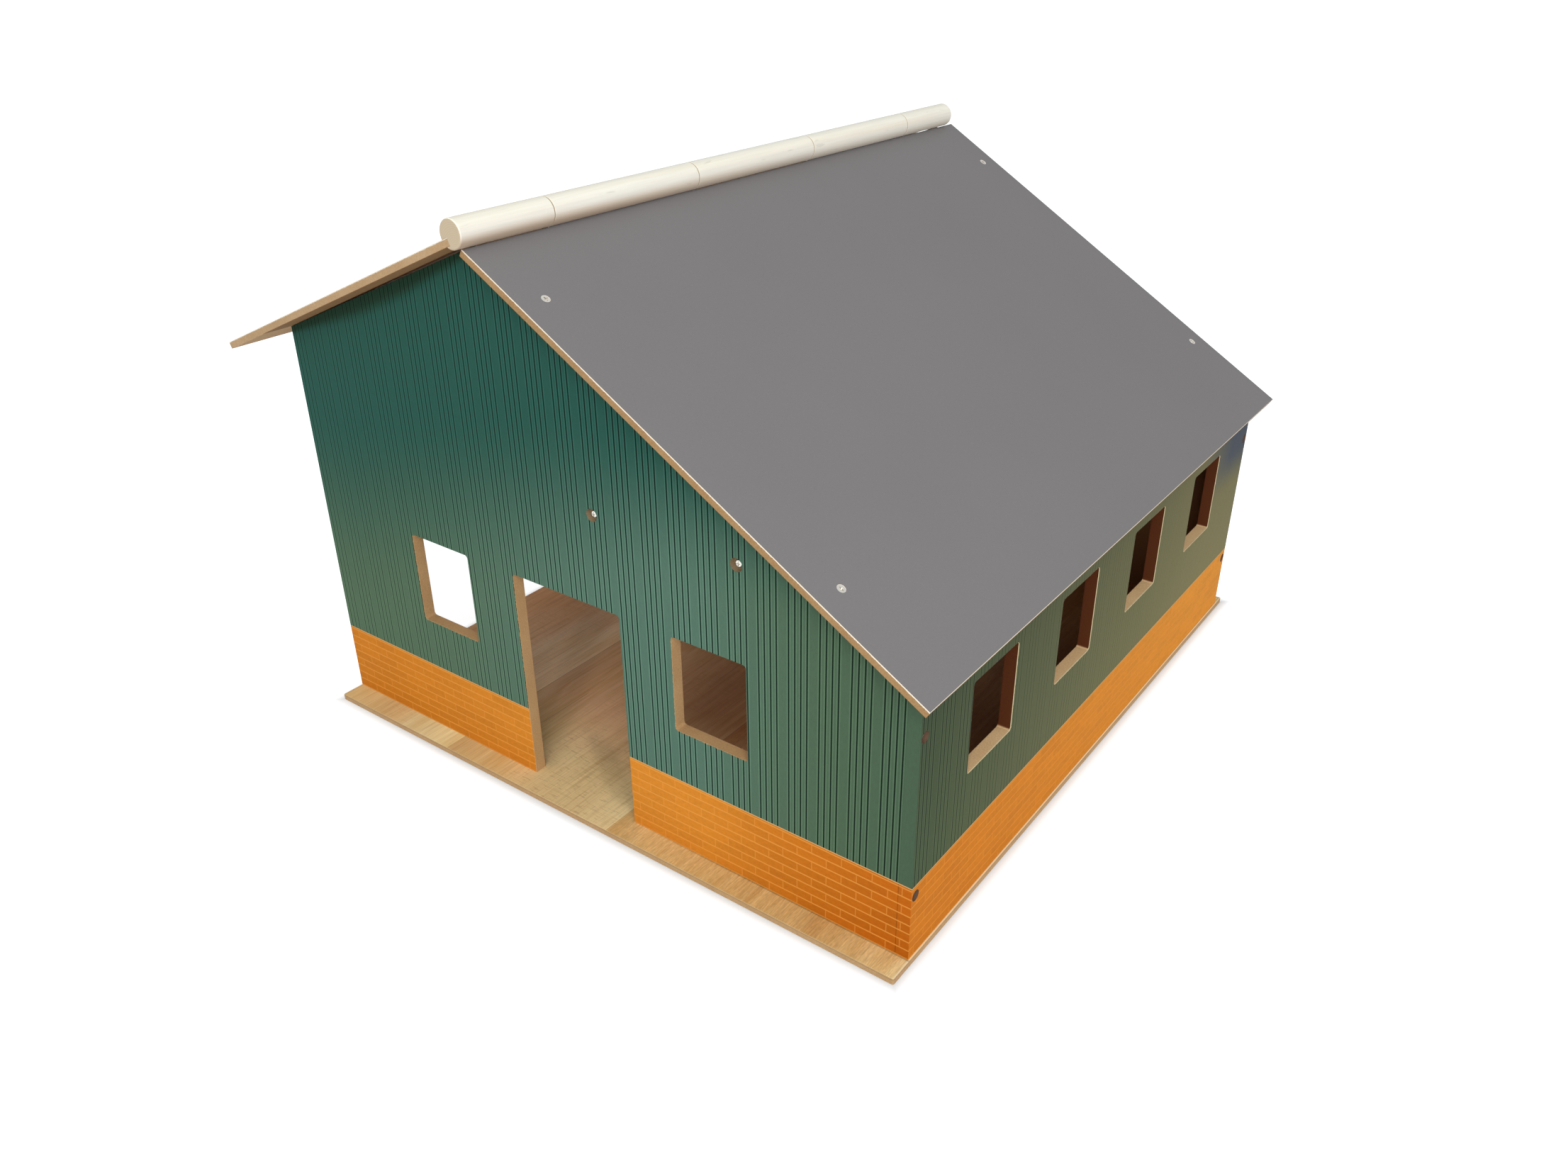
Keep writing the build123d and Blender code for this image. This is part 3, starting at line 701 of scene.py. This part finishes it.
# ================================================================ roof boards
ROOF_GREY = srgb(130, 128, 129)
ROOF_RIM = srgb(240, 229, 210)
ROOF_RIM_DEPTH = (0.60 * MM, 1.05 * MM)  # below the upper face, least and most
GREY_DEPTH = 0.04 * MM
OVERHANG_SHADE = (0.52, 0.42, 0.34)  # on the underside before the front gable
OVERHANG_SHADE_FADE = 25 * MM  # behind the gable's face
OVERHANG_SHADE_START = 4 * MM  # outside the open edge
PANEL_BARE = (srgb(186, 150, 106), srgb(164, 126, 84))
PANEL_UNDERSIDE = 0.8
# painted light: the leaf's bare board, a lighter copy of the fixed panel's
LEAF_BARE_LIT = (srgb(204, 172, 134), srgb(184, 150, 110))
# painted light: the leaf's underside lightened as if lit by light from the ground
LEAF_UNDERSIDE_LIGHT = 1.5


def broad_face(node):
    """Unit normal of a board's broad upper face, and the face's height along it."""
    mesh = frame["nodes"][node].data
    widest = max((face for face in mesh.polygons if face.normal.z > 0.5), key=lambda face: face.area)
    return widest.normal.copy(), widest.center.dot(widest.normal)


def roof_board(name, node, bare_colours, underside):
    """Grey upper face, a pale line along its rounded edges, bare board elsewhere."""
    normal, level = broad_face(node)
    paint = Paint(name)
    depth = paint.math("SUBTRACT", level, paint.vector_math("DOT_PRODUCT", paint.place, normal))
    bare, fibres = fibreboard(paint, *bare_colours)
    facing_down = paint.math("LESS_THAN", paint.parts(paint.normal)[2], -0.5)
    # the underside is toned: lighter on the leaf as painted light, darker on the fixed panel
    bare = paint.tone_where(facing_down, bare, underside)
    before_gable = paint.near(paint.y, FRONT, FRONT + OVERHANG_SHADE_FADE)
    before_gable = paint.times(before_gable, paint.remap(paint.x, LEFT - OVERHANG_SHADE_START, LEFT))
    bare = paint.tint_where(paint.times(facing_down, before_gable), bare, OVERHANG_SHADE)
    speckle = paint.noise((900.0, 900.0, 900.0), detail=2.0)
    drift = paint.noise((6.0, 6.0, 6.0), detail=2.0)
    grey = paint.tone(ROOF_GREY, paint.about_one(speckle, 0.03))
    grey = paint.tone(grey, paint.about_one(drift, 0.015))
    ragged = paint.remap(paint.noise((500.0, 500.0, 500.0), detail=2.0), 0.3, 0.7, *ROOF_RIM_DEPTH)
    pale = paint.math("LESS_THAN", depth, ragged)
    top = paint.math("LESS_THAN", depth, GREY_DEPTH)
    colour = paint.mix(top, paint.mix(pale, bare, ROOF_RIM), grey)
    roughness = paint.remap(top, 0.0, 1.0, 0.85, 0.6)
    grain = paint.math("ADD", paint.times(fibres, paint.remap(top, 0.0, 1.0, 1.0, 0.1)), speckle)
    return paint.finish(colour, roughness, grain, bump=0.2, specular=0.2)


# ================================================================ loft board
def bare_board(name):
    paint = Paint(name)
    colour, fibres = fibreboard(paint, *LOFT_BOARD)
    return paint.finish(colour, 0.8, fibres, bump=0.3, specular=0.2)


# ================================================================ ridge pole
# near white: the pale wood brightened as painted light on the pole's top
WOOD_DARK = srgb(255, 251, 234)
WOOD_LIGHT = srgb(255, 255, 244)
# painted shade on the pole's lower side, strongest at its front, and a slight one below its top
WOOD_UNDER_SHADE = srgb(204, 180, 156)
CUT_FACE = srgb(209, 191, 163)
CUT_RING = srgb(201, 182, 151)
SHOULDER_SHADE = (0.93, 0.90, 0.90)
SHOULDER_HEIGHT = (9 * MM, 3 * MM)  # from the ridge's axis
UNDER_HEIGHT = (3 * MM, -9 * MM)
UNDER_LENGTH = (0.05, 0.55, 1.15, 0.30)
PITH = (5 * MM, -9 * MM)  # from the ridge's axis
RING = 1.6 * MM


def pole_wood(name):
    """Pale turned wood, set near white as painted light on its top: faint long grain on the round, painted
    shade on its lower side, growth rings on the cut ends.
    """
    paint = Paint(name)
    grain = paint.noise((520.0, 14.0, 520.0), detail=4.0, roughness=0.6)
    streaks = paint.noise((110.0, 3.0, 110.0), detail=3.0)
    marks = paint.remap(paint.noise((260.0, 40.0, 260.0), detail=1.0), 0.70, 0.78)
    colour = paint.mix(paint.remap(streaks, 0.35, 0.65), WOOD_DARK, WOOD_LIGHT)
    colour = paint.tone(colour, paint.about_one(grain, 0.04))
    colour = paint.tone_where(marks, colour, 0.88)
    # painted shade on the lower side
    above_axis = paint.math("SUBTRACT", paint.z, RIDGE.z)
    colour = paint.tint_where(paint.remap(above_axis, *SHOULDER_HEIGHT, smooth=True), colour, SHOULDER_SHADE)
    along = paint.math("SUBTRACT", paint.y, FRONT)
    under = paint.remap(above_axis, *UNDER_HEIGHT, smooth=True)
    under = paint.times(under, paint.remap(along, *UNDER_LENGTH))
    colour = paint.mix(under, colour, WOOD_UNDER_SHADE)
    aside = paint.math("SUBTRACT", paint.x, RIDGE.x + PITH[0])
    above = paint.math("SUBTRACT", paint.z, RIDGE.z + PITH[1])
    squares = paint.math("ADD", paint.times(aside, aside), paint.times(above, above))
    radius = paint.math("MULTIPLY_ADD", grain, 0.6 * MM, paint.math("SQRT", squares))
    ring = paint.math("FRACT", paint.math("DIVIDE", radius, RING))
    cut = paint.mix(paint.remap(ring, 0.2, 1.0), CUT_FACE, CUT_RING)
    end = paint.math("GREATER_THAN", paint.math("ABSOLUTE", paint.parts(paint.normal)[1]), 0.8)
    return paint.finish(paint.mix(end, colour, cut), 0.6, grain, bump=0.12, specular=0.3)


# ================================================================ steel
STEEL = srgb(228, 225, 218)
STEEL_ROUGHNESS = (0.24, 0.42)


def bright_steel(name):
    paint = Paint(name)
    brushed = paint.noise((2500.0, 2500.0, 900.0), detail=3.0, roughness=0.7)
    dull = paint.remap(paint.noise((500.0, 500.0, 500.0), detail=2.0), 0.4, 0.7, *STEEL_ROUGHNESS)
    colour = paint.tone(STEEL, paint.about_one(brushed, 0.08))
    return paint.finish(colour, dull, brushed, bump=0.15, depth=0.05 * MM, specular=0.5, metallic=1.0)


# ================================================================ putting the materials on
GABLE_FIRST_LINE = LEFT + 27.6 * MM
GABLE_FIRST_JOINT = LEFT + 11.8 * MM
SIDE_FIRST_LINE = FRONT + 2.9 * MM
SIDE_FIRST_JOINT = FRONT + 22.0 * MM
SIDE_END_JOINT = RIGHT - 8.5 * MM  # on the side wall's ends, which carry on the gables' print


def dress(node, material):
    for slot in frame["nodes"][node].material_slots:
        slot.material = material


def gable_sheet(plane, first_joint=GABLE_FIRST_JOINT, lines=gable_lines):
    return Sheet("y", plane, "x", GABLE_FIRST_LINE, first_joint, gable_tones, GABLE_MORTAR, lines)


side_sheets = [
    Sheet("x", RIGHT, "y", SIDE_FIRST_LINE, SIDE_FIRST_JOINT, side_tones, SIDE_MORTAR, side_lines),
    gable_sheet(FRONT, first_joint=SIDE_END_JOINT, lines=no_lines),
    gable_sheet(REAR, first_joint=SIDE_END_JOINT, lines=no_lines),
]
dress("front_gable", printed_board("front_print", "front_gable", [gable_sheet(FRONT)], GABLE_WEAR))
dress("rear_gable", printed_board("rear_print", "rear_gable", [gable_sheet(REAR)], GABLE_WEAR))
dress("side_wall", printed_board("side_print", "side_wall", side_sheets, SIDE_WEAR, side=True))
dress("base_board", floor_print("floor_print"))
dress("loft_board", bare_board("loft_fibreboard"))
dress("roof_panel", roof_board("panel_grey", "roof_panel", PANEL_BARE, PANEL_UNDERSIDE))
dress("roof_leaf", roof_board("leaf_grey", "roof_leaf", LEAF_BARE_LIT, LEAF_UNDERSIDE_LIGHT))

pole = pole_wood("pole_wood")
steel = bright_steel("bright_steel")
for node in frame["nodes"]:
    if node.startswith("ridge_knuckle"):
        dress(node, pole)
    elif node.endswith(("screws", "pins")):
        dress(node, steel)


# ================================================================ studio
STUDIO_LIGHT = 0.62
STUDIO_COLOUR = (1.0, 0.995, 0.99, 1.0)
FAR_LIGHT = 0.3  # share of it that comes from behind the barn and from its open side
NEAR_SIDE = (0.75, -0.66, 0.0)  # toward the brighter side
FAR_FADE = (-0.8, 0.1)  # along that direction
BACKGROUND = 1.0
GROUND_COLOUR = (0.75, 0.78, 0.81, 1.0)
GROUND_GLOW = (0.12, 0.8)  # at the barn and away from it
SHADED_GLOW = 0.24  # at the barn on its open, shaded side
SHADED_WIDTH = 0.12
GLOW_REACH = 14 * MM  # from the barn to the full glow
GROUND_SIZE = 30.0
GROUND_LEVEL = -0.0002
KEY_PLACE = (2.0, -2.4, 1.9)
KEY_TARGET = (0.0, 0.0, 0.2)
KEY_SIZE = 2.2
KEY_POWER = 65.0
KEY_COLOUR = (1.0, 0.99, 0.98)


def seen_directly(nodes):
    """1 for camera, mirror and glass rays, which see the white background."""
    path = nodes.add("LightPath")
    mirror = nodes.math("MAXIMUM", path.outputs["Is Camera Ray"], path.outputs["Is Glossy Ray"])
    return nodes.math("MAXIMUM", mirror, path.outputs["Is Transmission Ray"])


def studio_world():
    """Soft light from all round, brighter from the near side, before a plain white background."""
    world = bpy.data.worlds.new("studio")
    world.use_nodes = True
    nodes = Nodes(world.node_tree)
    direction = nodes.add("TexCoord").outputs["Generated"]
    toward = nodes.vector_math("DOT_PRODUCT", direction, NEAR_SIDE)
    soft = nodes.add("Background")
    soft.inputs["Color"].default_value = STUDIO_COLOUR
    light = nodes.remap(toward, *FAR_FADE, STUDIO_LIGHT * FAR_LIGHT, STUDIO_LIGHT, smooth=True)
    nodes.put(soft.inputs["Strength"], light)
    white = nodes.add("Background")
    white.inputs["Strength"].default_value = BACKGROUND
    mixed = nodes.add("MixShader")
    nodes.fill(mixed.inputs, (seen_directly(nodes), soft.outputs[0], white.outputs[0]))
    nodes.put(nodes.add("OutputWorld").inputs["Surface"], mixed.outputs[0])
    bpy.context.scene.world = world


def ground_glow(nodes):
    """Glow of the ground as the camera sees it: less beside the barn, where its shadow shows."""
    place = nodes.add("TexCoord").outputs["Object"]
    barn_corner = (abs(LEFT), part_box("base_board")[1].y, 0.0)
    beyond = nodes.vector_math("SUBTRACT", nodes.vector_math("ABSOLUTE", place), barn_corner)
    farther = nodes.math("MAXIMUM", *nodes.parts(beyond)[:2])
    glow, far_glow = GROUND_GLOW
    at_barn = nodes.remap(nodes.parts(place)[0], LEFT, LEFT + SHADED_WIDTH, SHADED_GLOW, glow)
    return nodes.remap(farther, 0.0, GLOW_REACH, at_barn, far_glow)


def studio_ground():
    """Pale floor that turns white away from the barn and keeps the barn's shadow."""
    bpy.ops.mesh.primitive_plane_add(size=GROUND_SIZE, location=(0.0, 0.0, GROUND_LEVEL))
    ground = bpy.context.object
    ground.name = "studio_ground"
    material = bpy.data.materials.new("studio_ground")
    material.use_nodes = True
    nodes = Nodes(material.node_tree)
    diffuse = nodes.add("BsdfDiffuse")
    diffuse.inputs["Color"].default_value = GROUND_COLOUR
    glow = nodes.add("Emission")
    nodes.put(glow.inputs["Strength"], nodes.math("MULTIPLY", seen_directly(nodes), ground_glow(nodes)))
    both = nodes.add("AddShader")
    nodes.fill(both.inputs, (diffuse.outputs[0], glow.outputs[0]))
    nodes.put(nodes.add("OutputMaterial").inputs["Surface"], both.outputs[0])
    ground.data.materials.append(material)


def key_lamp():
    lamp = bpy.data.lights.new("key", "AREA")
    lamp.shape = "SQUARE"
    lamp.size = KEY_SIZE
    lamp.energy = KEY_POWER
    lamp.color = KEY_COLOUR
    holder = bpy.data.objects.new("key", lamp)
    bpy.context.scene.collection.objects.link(holder)
    holder.location = KEY_PLACE
    aim = Vector(KEY_TARGET) - Vector(KEY_PLACE)
    holder.rotation_euler = aim.to_track_quat("-Z", "Y").to_euler()


def photo_camera():
    camera = bpy.data.cameras.new("camera")
    camera.lens = LENS_MM
    camera.sensor_width = SENSOR_MM
    camera.sensor_fit = "HORIZONTAL"
    camera.clip_start = 0.01
    camera.clip_end = 100.0
    holder = bpy.data.objects.new("camera", camera)
    bpy.context.scene.collection.objects.link(holder)
    holder.location = CAMERA_PLACE
    holder.rotation_euler = [radians(turn) for turn in CAMERA_TURN_DEG]
    bpy.context.scene.camera = holder


studio_world()
studio_ground()
key_lamp()
photo_camera()
bpy.context.scene.view_settings.view_transform = "Standard"
